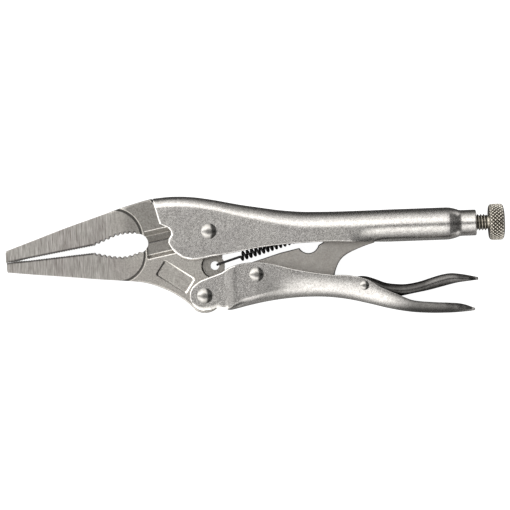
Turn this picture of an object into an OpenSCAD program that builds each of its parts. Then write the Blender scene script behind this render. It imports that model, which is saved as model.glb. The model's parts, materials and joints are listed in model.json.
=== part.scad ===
// Long-nose locking pliers with a wire cutter, locked closed and lying on their side.
// X runs from the jaw tips to the screw knob, Y from the lower handle to the upper one,
// Z across the tool.  Outlines are given from the main pivot; place() moves the model so
// that its origin is the middle of the underside of its box.

/* [Jaws] */
// Distance from the main pivot to the jaw tips
nose_reach = 97.8; // [90:0.1:105]
// Thickness of the moving jaw at the pivot
jaw_thick = 9.4; // [8:0.1:9.6]
// Thickness of the ground nose at its root
nose_root_thick = 8.4; // [7:0.1:9]
// Thickness of the ground nose at its tip
nose_tip_thick = 6.2; // [5:0.1:7]
// Distance from one fine grip tooth to the next
grip_pitch = 1.2; // [1:0.1:2]
// Depth of the fine grip teeth
grip_depth = 0.35; // [0.2:0.05:0.5]
// Number of coarse teeth in each half of the throat
throat_teeth = 9; // [7:1:11]
// Depth of the coarse teeth
throat_depth = 0.8; // [0.4:0.1:1.2]

/* [Handles] */
// Thickness of the handle sheet
sheet = 2; // [1.6:0.1:2.2]
// Half the outer width of the upper handle at the main pivot
upper_front_half = 6.9; // [6.8:0.1:7.2]
// Outer radius of the tube that the upper handle becomes
tube_r = 7.75; // [7.6:0.05:8.2]
// Outer radius of the threaded neck
neck_r = 6.2; // [5.8:0.1:6.6]
// Thickness of the lower handle's sheet
lower_sheet = 1.9; // [1.5:0.1:2]
// Half the outer width of the lower handle behind its ears
lower_half = 7.5; // [7.2:0.1:7.7]
// Half the outer width of the release lever
lever_half = 5; // [4.6:0.1:5.2]
// Thickness of the release lever's sheet
lever_sheet = 1.2; // [1:0.1:1.5]
// Thickness of the toggle link
link_thick = 6.4; // [5:0.2:8]

/* [Rivets] */
// Shank radius of the main and jaw rivets
big_rivet_r = 2.6; // [2.2:0.1:3]
// Head radius of the main and jaw rivets
big_head_r = 3.7; // [3.3:0.1:4]
// Shank radius of the link rivet
link_rivet_r = 2.4; // [2:0.1:2.8]
// Head radius of the link rivet
link_head_r = 3.5; // [3.2:0.1:3.8]
// Shank radius of the release rivet
small_rivet_r = 1.5; // [1.2:0.1:1.8]
// Head radius of the release rivet
small_head_r = 2.25; // [2:0.05:2.6]
// Radial running clearance round each rivet that a part turns on
rivet_fit = 0.05; // [0.02:0.01:0.1]

/* [Adjusting screw] */
// Outer radius of the thread
thread_r = 3.95; // [3.6:0.05:4.1]
// Distance from one thread to the next
thread_pitch = 1.411; // [1.2:0.001:1.8]
// Outer radius of the knob
knob_r = 8.7; // [8:0.1:9.2]
// Length of the knob
knob_len = 7.4; // [6:0.1:9]

/* [Spring] */
// Outer radius of the tension spring
spring_r = 2.35; // [2:0.05:2.4]
// Diameter of its wire
spring_wire = 0.95; // [0.7:0.05:1.1]

/* [Hidden] */
$fn = 48;
EPS = 0.01;
BIG = 60;

// Pivots, measured from the main pivot
JAW_PIVOT = [-3, -30.8];
LINK_PIVOT = [22.1, -21.45];
LEVER_PIVOT = [73.4, -28.5];
// End of the toggle link, which bears on the screw
LINK_END = [85, -0.4];
LINK_END_R = 3;

// Screw and tube
axis_y = -0.4;
knob_x = 134.2;
screw_tip_x = 90.7;
neck_x = 120.6;
neck_end_x = 128.2;
shoulder_x = 114.6;
tube_x = 88;
tube_core_r = tube_r - sheet;
screw_bore_r = thread_r + 0.05;
screw_tip_bevel = 1;
thread_depth = 0.75;

// The box of the whole model, from the main pivot
x_min = -nose_reach;
x_max = knob_x + knob_len;
y_max = 17.1;
y_min = -43.1;

// Jaws
jaw_half = jaw_thick / 2;
// The parting line between the jaws rises this steeply towards the pivot
part_slope = 0.192;
part_y0 = 0.95;
jaw_gap = 0.1;
boss_r = 8.2;
boss_gap = 0.4;
jaw_end_r = 8.3;
function part_y(x) = part_y0 + part_slope * x;

// Grip lines, from tip to throat
grip_x0 = -nose_reach + 0.2;
grip_x1 = -55.4;
FIXED_GRIP = [-11.72, -4.95];
MOVING_GRIP = [-11.86, -8.3];

// Slope of a smooth line through p at its point i
function slope_at(p, i) =
    let (a = max(i - 1, 0), b = min(i + 1, len(p) - 1))
    (p[b][1] - p[a][1]) / (p[b][0] - p[a][0]);
// Index of the stretch of p that holds x
function stretch(p, x, i = 0) = i >= len(p) - 2 || x <= p[i + 1][0] ? i : stretch(p, x, i + 1);
// Height at x of a smooth line through p, whose x values rise
function smooth(p, x) =
    let (i = stretch(p, x), h = p[i + 1][0] - p[i][0], t = (x - p[i][0]) / h)
    let (a = slope_at(p, i) * h, b = slope_at(p, i + 1) * h)
    p[i][1] * (2 * t * t * t - 3 * t * t + 1) + a * (t * t * t - 2 * t * t + t)
    + p[i + 1][1] * (3 * t * t - 2 * t * t * t) + b * (t * t * t - t * t);
// n + 1 even steps from a to b
function steps(a, b, n) = [for (i = [0:n]) a + (b - a) * i / n];
// Points of a smooth line, every so often from x = a to b
function run(p, a, b, n) = [for (x = steps(a, b, n)) [x, smooth(p, x)]];
// Points on an arc about c
function arc(c, r, a0, a1, n) = [for (a = steps(a0, a1, n)) c + r * [cos(a), sin(a)]];
function flip(p) = [for (i = [len(p) - 1:-1:0]) p[i]];

// Teeth along a line: n teeth from x = a to b on the smooth line p, cut depth deep
function teeth(p, a, b, n, depth) = [for (i = [0:2 * n])
    let (x = a + (b - a) * i / (2 * n)) [x, smooth(p, x) + (i % 2 == 0 ? 0 : depth)]];

// One wall-to-wall section of a folded sheet: up one side, round the bend, down the other
// dir is 1 for a fold at the top and -1 for a fold at the bottom
BEND_STEPS = 5;
function fold(x, w, bend_y, edge_y, r, dir) = concat(
    [[x, edge_y, w]],
    [for (a = steps(0, 90, BEND_STEPS)) [x, bend_y - dir * (r - r * sin(a)), w - r + r * cos(a)]],
    [for (a = steps(90, 180, BEND_STEPS)) [x, bend_y - dir * (r - r * sin(a)), r - w + r * cos(a)]],
    [[x, edge_y, -w]]);

// A solid through equal rings of points, closed at both ends by strips across the sheet
module ring_solid(rings, dir) {
    m = len(rings[0]);
    half = m / 2;
    last = len(rings) - 1;
    function side(i, j) =
        let (a = i * m + j, b = i * m + (j + 1) % m, c = b + m, d = a + m) [[a, b, c], [a, c, d]];
    function cap(i, j) =
        let (a = i * m + j, b = a + 1, c = i * m + m - 2 - j, d = c + 1) [[a, c, b], [a, d, c]];
    walls = [for (i = [0:last - 1], j = [0:m - 1], f = side(i, j)) f];
    first = [for (j = [0:half - 2], f = cap(0, j)) f];
    end = [for (j = [0:half - 2], f = cap(last, j)) flip(f)];
    faces = concat(walls, first, end);
    polyhedron(
        [for (r = rings, p = r) p],
        dir > 0 ? faces : [for (f = faces) flip(f)], convexity = 8);
}

// A channel folded from sheet of thickness t, through the stations xs.  Where the channel is
// shallow its sheet thins and its bend tightens
THIN = 0.6;
TIGHT = 0.8;
flat_half = 0.3;
module channel(xs, bend, edge, half, radius, t, dir) {
    rings = [for (x = xs)
        let (w = lookup(x, half), by = smooth(bend, x), ey = smooth(edge, x), deep = abs(by - ey))
        let (s = min(t, THIN * deep), r = min(lookup(x, radius), TIGHT * deep, w - flat_half))
        concat(fold(x, w, by, ey, r, dir),
            flip(fold(x, w - s, by - dir * s, ey, max(r - s, flat_half), dir)))];
    ring_solid(rings, dir);
}

module place() {
    translate([-(x_min + x_max) / 2, -(y_min + y_max) / 2, knob_r]) children();
}
// A cylinder along Z through the whole tool
module bore(at, r) { translate([at[0], at[1], -BIG / 2]) cylinder(r = r, h = BIG); }
// A profile of [distance along X, radius] turned about the screw's axis
module turned(profile) {
    translate([0, axis_y, 0]) rotate([90, 0, 90])
        rotate_extrude() polygon([for (p = profile) [p[1], p[0]]]);
}
module plate(h) { translate([0, 0, -h / 2]) linear_extrude(h) children(); }

// ---- Jaws ----

FIXED_TOP = [[-97, -5.9], [-84.2, -1.5], [-69.6, 3.6], [-52.1, 9.2], [-43.3, 12.1],
    [-34.6, 14.6], [-30, 15.8], [-27, 16.4]];
FIXED_THROAT = [[grip_x1, FIXED_GRIP[1]], [-49.2, -2.5], [-44.6, -0.7], [-39.8, 0.1], [-34.6, 0]];
MOVING_THROAT = [[grip_x1, MOVING_GRIP[1]], [-50.3, -9.5], [-45.5, -10.4], [-41, -10.6],
    [-37, -9.8], [-33.6, -8.6]];
MOVING_BOTTOM = [[-97, -16.4], [-87.6, -17.5], [-70.4, -19.3], [-53.2, -21.2], [-34, -23.1],
    [-28.5, -24.4], [-23.1, -26.5], [-17.7, -29.2], [-12.3, -33], [-8, -37]];
THROAT_REAR_X = -29.4;
THROAT_REAR_R = 4.6;
grip_teeth = floor((grip_x1 - grip_x0) / grip_pitch);
function grip(ends, depth) =
    teeth([[grip_x0, ends[0]], [grip_x1, ends[1]]], grip_x0, grip_x1, grip_teeth, depth);

// Side planes of the ground nose, and where the grinding wheel stopped
FIXED_GROUND = [-46.5, -1.9];
MOVING_GROUND = [-43.9, -9.9];
FIXED_GROUND_R = 13.3;
MOVING_GROUND_R = 12;
// Material taken off each side of the nose
module ground_off(c, r) {
    taper = atan((nose_root_thick - nose_tip_thick) / 2 / (nose_reach + c[0]));
    for (s = [0, 1]) mirror([0, 0, s])
        translate([c[0], c[1], nose_root_thick / 2]) rotate([0, -taper, 0])
            linear_extrude(8) union() {
                circle(r);
                translate([-BIG, -BIG]) square([BIG, 2 * BIG]);
            }
}

// Two bevels thin each side of a jaw to a cutting edge at the parting line.  near and far are
// the distances from that line where the steep bevel and the shallow one meet the next face
EDGE_HALF = 0.3;
BEVEL_HALF = 2.6;
CUTTER_X = -34;
module cutter_bevel(near, far, x_end, dir) {
    tilt = atan(part_slope);
    slope = (BEVEL_HALF - EDGE_HALF) / near;
    side_half = jaw_half + 0.2;
    for (s = [0, 1]) mirror([0, 0, s])
        translate([CUTTER_X, part_y(CUTTER_X), 0]) rotate([0, 0, tilt]) rotate([90, 0, 90])
            linear_extrude((x_end - CUTTER_X) / cos(tilt)) polygon([
                [-dir / 2, EDGE_HALF - slope / 2], [dir * near, BEVEL_HALF],
                [dir * far, side_half], [dir * far, side_half + 1], [-dir / 2, side_half + 1]]);
}

// The jaw's shank fills the front of the upper handle behind this step
STEP_X = -27;
SHANK_END_X = 9;
shank_thick = 2 * (upper_front_half - sheet);
SHANK_TOP = [[STEP_X, 14.2], [-18, 14.8], [-8.6, 14.3], [1, 12.8], [SHANK_END_X, 11.1]];
// Its top edges are stepped down to clear the bend of the sheet: [drop in Y, width left in Z]
SHANK_STEPS = [[2.9, 9], [1.6, 8], [0.9, 6.4]];
// The raked line of the upper handle's front edge, by its X at height y
front_rake = 14.5;
function front_x(y) = -23.2 - (y - 3) * tan(front_rake);

// Everything above the shank's top line lowered by drop, from the sheet's front edge back
module above_shank(drop) {
    y0 = SHANK_TOP[0][1] - drop;
    polygon(concat(
        [[front_x(y0 + 4), y0 + 4], [front_x(y0), y0]],
        [for (p = run(SHANK_TOP, -25, SHANK_END_X, 8)) [p[0], p[1] - drop]],
        [[SHANK_END_X + 1, SHANK_TOP[4][1] - drop], [SHANK_END_X + 1, y0 + 4]]));
}

module fixed_jaw() {
    place() color([0.56, 0.54, 0.51]) difference() {
        plate(shank_thick) polygon(concat(
            [[-nose_reach, -7], [-nose_reach + 0.3, -6.2]],
            run(FIXED_TOP, -97, STEP_X, 14),
            run(SHANK_TOP, STEP_X + EPS, SHANK_END_X, 8),
            arc([0, 0], boss_r + boss_gap, 30, 184.5, 18),
            [[THROAT_REAR_X, part_y(THROAT_REAR_X)]],
            arc([THROAT_REAR_X - THROAT_REAR_R, part_y(THROAT_REAR_X)], THROAT_REAR_R, 10, 85, 6),
            flip(teeth(FIXED_THROAT, grip_x1, -34.6, throat_teeth, throat_depth)),
            flip(grip(FIXED_GRIP, grip_depth))));
        ground_off(FIXED_GROUND, FIXED_GROUND_R);
        cutter_bevel(4.1, 6.4, -21.5, 1);
        for (s = [0, 1], c = SHANK_STEPS) mirror([0, 0, s])
            translate([0, 0, c[1] / 2]) linear_extrude(shank_thick) above_shank(c[0]);
    }
}

// The ear that the spring hooks into
EAR = [1.7, -16.7];
ear_r = 5.3;
ear_recess_r = 5.4;
ear_half = 1.4;
SPRING_HOLE = [2.2, -16.6];
spring_hole_r = 2.05;
// The spring's front leg leaves the ear at this angle
leg_turn = 20;
// A plain recessed panel on each side
PANEL = [-16.8, -21.3];
panel_size = [16, 7.2];
panel_turn = -33.5;
panel_depth = 0.25;

module moving_jaw() {
    place() color([0.57, 0.55, 0.52]) difference() {
        plate(jaw_thick) union() {
            polygon(concat(
                [[-nose_reach + 0.5, -15.9]],
                run(MOVING_BOTTOM, -97, -8, 16),
                [JAW_PIVOT + [-2, -jaw_end_r + 0.3], JAW_PIVOT + [jaw_end_r - 0.2, 0],
                    EAR + [ear_r - 0.2, -2], EAR + [ear_r, 1], [boss_r - 0.2, 0], [0, boss_r - 0.1],
                    [-boss_r, part_y(-boss_r) - jaw_gap],
                    [THROAT_REAR_X, part_y(THROAT_REAR_X) - jaw_gap]],
                arc([THROAT_REAR_X - THROAT_REAR_R, part_y(THROAT_REAR_X) - jaw_gap],
                    THROAT_REAR_R, -10, -70, 5),
                flip(teeth(MOVING_THROAT, grip_x1, -33.6, throat_teeth, -throat_depth)),
                flip(grip(MOVING_GRIP, -grip_depth))));
            circle(boss_r);
            translate(JAW_PIVOT) circle(jaw_end_r);
            translate(EAR) circle(ear_r);
        }
        ground_off(MOVING_GROUND, MOVING_GROUND_R);
        cutter_bevel(5.2, 7.4, -16, -1);
        bore([0, 0], big_rivet_r + rivet_fit);
        bore(JAW_PIVOT, big_rivet_r + rivet_fit);
        bore(SPRING_HOLE, spring_hole_r);
        for (s = [0, 1]) mirror([0, 0, s]) {
            translate([EAR[0], EAR[1], ear_half]) cylinder(r = ear_recess_r, h = jaw_half);
            translate([EAR[0], EAR[1], ear_half]) rotate([0, 0, leg_turn])
                translate([0, -ear_r / 2, 0]) cube([2 * ear_r, ear_r, jaw_half]);
            translate([PANEL[0], PANEL[1], jaw_half - panel_depth + 1]) rotate([0, 0, panel_turn])
                cube([panel_size[0], panel_size[1], 2], center = true);
        }
    }
}

// ---- Upper handle ----

// The channel's rear end lies within the wall of the tube that it runs into
channel_end_half = tube_r - 0.12;
channel_end_x = 90;
UPPER_TOP = [[-28, 16.4], [-18, 17.1], [-8.6, 16.7], [1, 15.2], [15, 12.2], [25, 10.4], [34, 8.9],
    [44, 7.8], [54, 7.4], [64, 7.25], [channel_end_x, axis_y + channel_end_half]];
UPPER_EDGE = [[-28, -11], [-17, -9.4], [-14.3, -11.5], [-11.6, -12.8], [-8.8, -13.5],
    [-6.1, -13.6], [-3.4, -13.2], [2.2, -12.1], [12, -10.6], [24, -8.7], [36, -7.6], [48, -7.1],
    [58, -7], [68, -7.5], [78, -8.1], [channel_end_x, -8.1]];
UPPER_HALF = [[-28, upper_front_half], [5, upper_front_half], [20, upper_front_half + 0.2],
    [45, channel_end_half], [channel_end_x, channel_end_half]];
UPPER_RADIUS = [[-28, 5], [5, 5.4], [20, 6.2], [45, tube_r], [channel_end_x, tube_r]];
NOTCH = [-21.3, -0.5];
notch_r = 3.2;
// A tongue lanced from the roof of the handle, which holds the rear end of the spring
TAB = [50.6, -2.6];
tab_half = 3;

module upper_handle() {
    xs = concat(steps(-28, 0, 10), steps(4, 46, 11), steps(52, channel_end_x, 6));
    place() color([0.68, 0.67, 0.65]) union() {
        difference() {
            channel(xs, UPPER_TOP, UPPER_EDGE, UPPER_HALF, UPPER_RADIUS, sheet, 1);
            // Raked front edge
            translate([front_x(3), 3, -BIG / 2]) rotate([0, 0, front_rake])
                translate([-BIG, 0, 0]) cube([BIG, BIG, BIG]);
            // Below the notch the front edge runs back to the round lobe
            translate([0, 0, -BIG / 2]) linear_extrude(BIG) polygon([
                [-40, 3.2], [-23.2, 3.2], [-22.6, -0.5], [-20.6, -3.9], [-19.6, -5.2],
                [-18.4, -7.4], [-17, -9.4], [-15.7, -10.6], [-15.2, -14], [-40, -14]]);
            bore(NOTCH, notch_r);
            bore([0, 0], big_rivet_r);
        }
        // Tube, shoulder and threaded neck
        turned([[tube_x, tube_core_r], [tube_x, tube_r], [shoulder_x, tube_r],
            [116.4, tube_r - 0.3], [118.4, 7], [neck_x, neck_r], [neck_end_x - 0.4, neck_r - 0.1],
            [neck_end_x, neck_r - 0.6], [neck_end_x, screw_bore_r], [neck_x - 2.6, screw_bore_r],
            [shoulder_x, tube_core_r]]);
        difference() {
            translate([TAB[0], TAB[1] - 2, -tab_half]) cube([sheet, 9.6, 2 * tab_half]);
            translate([TAB[0] - 1, TAB[1], 0]) rotate([0, 90, 0]) cylinder(r = 0.9, h = 4);
        }
    }
}

// ---- Lower handle ----

LOWER_BACK = [[7, -37.8], [9.5, -38], [18.4, -36.1], [28, -34.4], [37.7, -33.4], [47.3, -33.1],
    [56.9, -33.6], [66.4, -35.1], [76, -37.5], [85.5, -40.1], [95, -42], [104.6, -42.9],
    [114.2, -43.1], [121.4, -42.8], [126.2, -42.4]];
LOWER_EDGE = [[7, -18.9], [9.4, -17.6], [14.3, -16.2], [19.1, -15.7], [23.4, -15.7],
    [28.7, -16.6], [41.8, -20.1], [58.3, -23], [66.8, -23.6], [75.1, -25.8], [81, -29.6],
    [88.8, -33.2], [96.6, -36.6], [107.1, -38], [114.3, -38.5], [120.4, -39.2], [126.2, -41.3]];
LOWER_HALF = [[7, 7.1], [12, lower_half], [60, lower_half], [95, lower_half], [112, 7.4],
    [122, 6], [126.2, 3]];
LOWER_RADIUS = [[7, 4.4], [40, 5], [90, 4.6], [110, 3.2], [120, 2.2], [126.2, 0.9]];
ear_out_half = 6.85;
ear_in_half = 4.95;
nose_r = 7.2;

module lower_handle() {
    xs = concat([7, 9, 11, 13], steps(16, 72, 14), steps(76, 116, 12), [119, 122, 124.4, 126.2]);
    place() color([0.68, 0.67, 0.65]) difference() {
        union() {
            channel(xs, LOWER_BACK, LOWER_EDGE, LOWER_HALF, LOWER_RADIUS, lower_sheet, -1);
            for (s = [0, 1]) mirror([0, 0, s]) translate([0, 0, ear_in_half])
                linear_extrude(ear_out_half - ear_in_half) union() {
                    translate(JAW_PIVOT) circle(nose_r);
                    polygon(concat(
                        [[-8.9, -26.6], [-6.5, -24.6], [-3.7, -23.1], [1.6, -21.3], [5.5, -19.9],
                            [8, -18.4], [10, -17.4]],
                        [[10, -37], [8, -37.3], [6.6, -36.6], [5, -36.2], [3.2, -36.4]]));
                }
        }
        bore(JAW_PIVOT, big_rivet_r);
        bore(LINK_PIVOT, link_rivet_r);
        bore(LEVER_PIVOT, small_rivet_r);
    }
}

// ---- Toggle link ----

LINK_TOP = [[24.9, -14.2], [33.6, -11.6], [42.4, -9.7]];
LINK_REAR = [[79.5, -6.6], [78.9, -8.3], [73.9, -9.8], [67, -12.6], [63.6, -14.8], [61.5, -17.4],
    [60, -20.8], [59.2, -24], [58.2, -25.1], [40, -26]];
LINK_NOTCH = [47.4, -7.2];
link_notch_r = 5;
link_foot_r = 6.3;

module toggle_link() {
    place() color([0.45, 0.43, 0.41]) difference() {
        plate(link_thick) polygon(concat(
            arc(LINK_PIVOT, link_foot_r, 280, 115, 20),
            LINK_TOP,
            arc(LINK_NOTCH, link_notch_r, 210, 345, 14),
            [[54.2, -7.4], [58, -3.2], [64, 0.6], [70, 2.2]],
            arc(LINK_END, LINK_END_R, 90, -90, 12),
            LINK_REAR));
        bore(LINK_PIVOT, link_rivet_r + rivet_fit);
    }
}

// ---- Release lever ----

LEVER_BACK = [[54, -27.9], [57, -27.6], [61, -27.3], [65, -26.2], [70.4, -24.3], [74, -24.2],
    [78.5, -25.6], [84.2, -27.8], [91, -28.7], [95, -28.6], [100.3, -27.7], [106.6, -25.9],
    [111, -24.8], [115.5, -24.3], [121, -25], [128.2, -26.6]];
LEVER_EDGE = [[54, -29.6], [57, -29.9], [61, -30.4], [65, -31], [70.4, -32], [76, -33.2],
    [84.2, -34.4], [91, -34.4], [95, -33.7], [104.2, -32.1], [110.8, -30.6], [117.5, -29.1],
    [121.9, -28.6], [128.2, -28]];
LEVER_HALF = [[54, 4.4], [66, 4.6], [80, lever_half], [90, lever_half], [104, lever_half + 0.6],
    [118, 5.4], [124, 5], [128.2, 3.2]];
LEVER_RADIUS = [[54, 1.4], [62, 2], [90, 3], [110, 2.6], [122, 2], [128.2, 1.2]];

module release_lever() {
    xs = concat([54, 57, 61, 65, 68, 71, 74, 77], steps(80, 122, 14), [124.5, 126.6, 128.2]);
    place() color([0.7, 0.69, 0.67]) difference() {
        channel(xs, LEVER_BACK, LEVER_EDGE, LEVER_HALF, LEVER_RADIUS, lever_sheet, 1);
        bore(LEVER_PIVOT, small_rivet_r + rivet_fit);
    }
}

// ---- Rivets ----

// A rivet along Z: a shank between two domed heads that bear on faces half apart from the middle
module rivet(at, shank_r, head_r, half, dome) {
    round_r = (head_r * head_r + dome * dome) / (2 * dome);
    sweep = asin(head_r / round_r);
    place() translate([at[0], at[1], 0]) union() {
        translate([0, 0, -half]) cylinder(r = shank_r, h = 2 * half);
        for (s = [0, 1]) mirror([0, 0, s])
            translate([0, 0, half]) rotate_extrude() polygon(concat([[0, 0]],
                [for (a = steps(sweep, 0, 8)) [round_r * sin(a), round_r * cos(a) - round_r + dome]]));
    }
}
big_dome = 1.1;
small_dome = 0.7;
RIVET_COLOUR = [0.75, 0.74, 0.72];
module main_rivet() {
    color(RIVET_COLOUR) rivet([0, 0], big_rivet_r, big_head_r, upper_front_half, big_dome);
}
module jaw_rivet() {
    color(RIVET_COLOUR) rivet(JAW_PIVOT, big_rivet_r, big_head_r, ear_out_half, big_dome);
}
module link_rivet() {
    color(RIVET_COLOUR) rivet(LINK_PIVOT, link_rivet_r, link_head_r, lower_half, big_dome);
}
module release_rivet() {
    color(RIVET_COLOUR) rivet(LEVER_PIVOT, small_rivet_r, small_head_r, lower_half, small_dome);
}

// ---- Adjusting screw ----

module adjusting_screw() {
    n = floor((knob_x - 1 - screw_tip_x - screw_tip_bevel) / thread_pitch);
    thread = [for (i = [0:n - 1], k = [0:3])
        let (x = screw_tip_x + screw_tip_bevel + thread_pitch * (i + [0, 0.3, 0.5, 0.8][k]))
        [x, k == 0 || k == 3 ? thread_r - thread_depth : thread_r]];
    place() color([0.62, 0.6, 0.56]) turned(concat(
        [[screw_tip_x, 0], [screw_tip_x, thread_r - 1.3]], thread,
        [[knob_x - 0.6, thread_r - thread_depth], [knob_x, thread_r - thread_depth], [knob_x, 0]]));
}

module screw_knob() {
    collar = 0.9;
    bevel = 0.8;
    place() color([0.62, 0.6, 0.56]) turned([
        [knob_x, 0], [knob_x, knob_r - 2.2], [knob_x + collar, knob_r - 1.6],
        [knob_x + collar, knob_r - bevel], [knob_x + collar + bevel, knob_r],
        [x_max - bevel, knob_r], [x_max, knob_r - bevel], [x_max, 0]]);
}

// ---- Spring ----

// The spring as the solid that its coils fill, with its front leg hooked in the moving jaw's ear
COIL_START = [16.2, -12.2];
coil_turn = 15.5;
coil_len = 30;
tail_len = 6;
HOOK = SPRING_HOLE + [1.4, 0.5];
module wire(len) { cylinder(r = spring_wire / 2, h = len, $fn = 16); }
module tension_spring() {
    run_to_coil = COIL_START - HOOK;
    leg_z = spring_r - spring_wire / 2;
    place() color([0.12, 0.12, 0.13]) union() {
        translate([COIL_START[0], COIL_START[1], 0]) rotate([0, 0, coil_turn]) rotate([0, 90, 0]) {
            cylinder(r = spring_r, h = coil_len);
            translate([0, 0, coil_len - 1]) wire(tail_len + 1);
        }
        translate([HOOK[0], HOOK[1], leg_z]) {
            rotate([0, 0, atan2(run_to_coil[1], run_to_coil[0])]) rotate([0, 90, 0])
                wire(norm(run_to_coil) + 1);
            mirror([0, 0, 1]) wire(2 * leg_z);
        }
    }
}

upper_handle();
fixed_jaw();
main_rivet();
moving_jaw();
lower_handle();
jaw_rivet();
link_rivet();
release_rivet();
toggle_link();
release_lever();
adjusting_screw();
screw_knob();
tension_spring();
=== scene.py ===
"""Looks of the long-nose locking pliers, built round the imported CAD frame.

Outlines are in millimetres from the main pivot, as in part.scad: X towards the knob, Y towards
the upper handle, Z across the tool.  to_row() takes them to the row frame in metres.
"""

import json
import math

import bmesh
import bpy
import numpy as np
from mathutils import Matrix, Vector
from mathutils.geometry import delaunay_2d_cdt


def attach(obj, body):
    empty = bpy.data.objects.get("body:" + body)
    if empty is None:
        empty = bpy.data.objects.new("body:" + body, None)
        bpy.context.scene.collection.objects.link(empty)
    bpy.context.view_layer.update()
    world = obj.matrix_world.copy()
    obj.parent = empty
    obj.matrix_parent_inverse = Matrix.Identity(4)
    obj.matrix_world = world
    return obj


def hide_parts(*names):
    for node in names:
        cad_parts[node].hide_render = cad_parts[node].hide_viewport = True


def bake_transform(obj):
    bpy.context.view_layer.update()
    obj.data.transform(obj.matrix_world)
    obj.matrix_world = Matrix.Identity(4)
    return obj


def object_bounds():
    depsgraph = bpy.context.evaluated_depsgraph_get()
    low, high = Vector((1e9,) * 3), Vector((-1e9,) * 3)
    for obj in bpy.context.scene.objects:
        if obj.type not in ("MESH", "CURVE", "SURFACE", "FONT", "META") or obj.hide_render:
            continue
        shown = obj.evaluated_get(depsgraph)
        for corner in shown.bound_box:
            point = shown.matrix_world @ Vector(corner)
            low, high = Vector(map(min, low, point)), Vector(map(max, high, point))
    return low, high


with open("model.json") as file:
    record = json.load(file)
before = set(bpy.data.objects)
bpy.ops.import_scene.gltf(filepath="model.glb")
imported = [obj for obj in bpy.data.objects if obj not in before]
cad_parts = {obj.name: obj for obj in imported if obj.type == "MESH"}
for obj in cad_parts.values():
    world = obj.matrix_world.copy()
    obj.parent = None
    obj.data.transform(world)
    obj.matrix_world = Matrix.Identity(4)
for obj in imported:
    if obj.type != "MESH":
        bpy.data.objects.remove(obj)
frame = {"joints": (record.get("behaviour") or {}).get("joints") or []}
cad_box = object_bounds()
joints = {j["name"]: j for j in frame["joints"]}
ORIGIN = np.array(joints["jaw_pivot"]["pos_m"])


def pivot(name):
    """A joint's place in the outlines' millimetres."""
    return (np.array(joints[name]["pos_m"]) - ORIGIN)[:2] * 1000


JAW_PIVOT = pivot("handle_pivot")
LINK_PIVOT = pivot("link_pivot")
LEVER_PIVOT = pivot("release_pivot")
AXIS_Y = pivot("knob_turn")[1]
KNOB_X = pivot("knob_turn")[0]
X_MIN = (cad_box[0].x - ORIGIN[0]) * 1000
X_MAX = (cad_box[1].x - ORIGIN[0]) * 1000


def to_row(points):
    return np.asarray(points, float) / 1000 + ORIGIN


# ---------------------------------------------------------------- lines and outlines


def smooth(p, x):
    """Height at x of a smooth line through p, as part.scad draws it."""
    p = np.asarray(p, float)
    n = len(p)
    lo = np.maximum(np.arange(n) - 1, 0)
    hi = np.minimum(np.arange(n) + 1, n - 1)
    slope = (p[hi, 1] - p[lo, 1]) / (p[hi, 0] - p[lo, 0])
    i = np.clip(np.searchsorted(p[:, 0], x, side="left") - 1, 0, n - 2)
    h = p[i + 1, 0] - p[i, 0]
    t = (x - p[i, 0]) / h
    return (p[i, 1] * (2 * t**3 - 3 * t**2 + 1) + slope[i] * h * (t**3 - 2 * t**2 + t)
            + p[i + 1, 1] * (3 * t**2 - 2 * t**3) + slope[i + 1] * h * (t**3 - t**2))


def linear(p, x):
    p = np.asarray(p, float)
    return np.interp(x, p[:, 0], p[:, 1])


def ease(x, a, b):
    t = np.clip((np.asarray(x, float) - a) / (b - a), 0, 1)
    return t * t * (3 - 2 * t)


def run(p, a, b, n):
    x = np.linspace(a, b, n + 1)
    return np.stack([x, smooth(p, x)], 1)


def arc(c, r, a0, a1, n):
    a = np.radians(np.linspace(a0, a1, n + 1))
    return np.stack([c[0] + r * np.cos(a), c[1] + r * np.sin(a)], 1)


def hole(c, r):
    return arc(c, r, 0, 352.5, 47)


def meshing(x):
    """Share of a tooth's depth that is open: little at the jaw tips, where the teeth mesh."""
    return 0.25 + 0.75 * ease(x, -95, -87)


def closer(x):
    """How far each jaw's teeth reach towards the other jaw's near the tips."""
    return 0.22 * ease(x, -97.6, -92) * (1 - ease(x, -92, -86))


def teeth(p, a, b, n, depth):
    """n teeth on the line p, cut depth deep, each with a small flat at its tip."""
    at = np.linspace(a, b, 2 * n + 1)
    flat = (b - a) / n * 0.1
    side = math.copysign(1, depth)
    out = []
    for i, x in enumerate(at):
        if i % 2:
            out.append([x, smooth(p, x) + depth * meshing(x) - side * closer(x)])
        else:
            for s in (-flat, flat):
                if a <= x + s <= b:
                    out.append([x + s, smooth(p, x + s) - side * closer(x + s)])
    return np.array(out)


def distance(points, line):
    """Distance of each point to a polyline."""
    points = np.asarray(points, float)
    best = np.full(len(points), 1e9)
    for a, b in zip(line[:-1], line[1:]):
        d = b - a
        t = np.clip(((points - a) @ d) / max(d @ d, 1e-12), 0, 1)
        best = np.minimum(best, np.linalg.norm(points - a - t[:, None] * d, axis=1))
    return best


def inside(points, polygon):
    """Whether each point is inside the polygon."""
    x, y = points[:, 0], points[:, 1]
    hit = np.zeros(len(points), bool)
    for a, b in zip(polygon, np.roll(polygon, -1, 0)):
        if a[1] != b[1]:
            crosses = (a[1] > y) != (b[1] > y)
            hit ^= crosses & (x < (b[0] - a[0]) * (y - a[1]) / (b[1] - a[1]) + a[0])
    return hit


def rounding(d, r):
    """How far a surface drops, d from an edge that is rounded with radius r."""
    d = np.clip(d, 0, r)
    return r - np.sqrt(np.maximum(r * r - (r - d) ** 2, 0))


# ---------------------------------------------------------------- meshes


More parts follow.
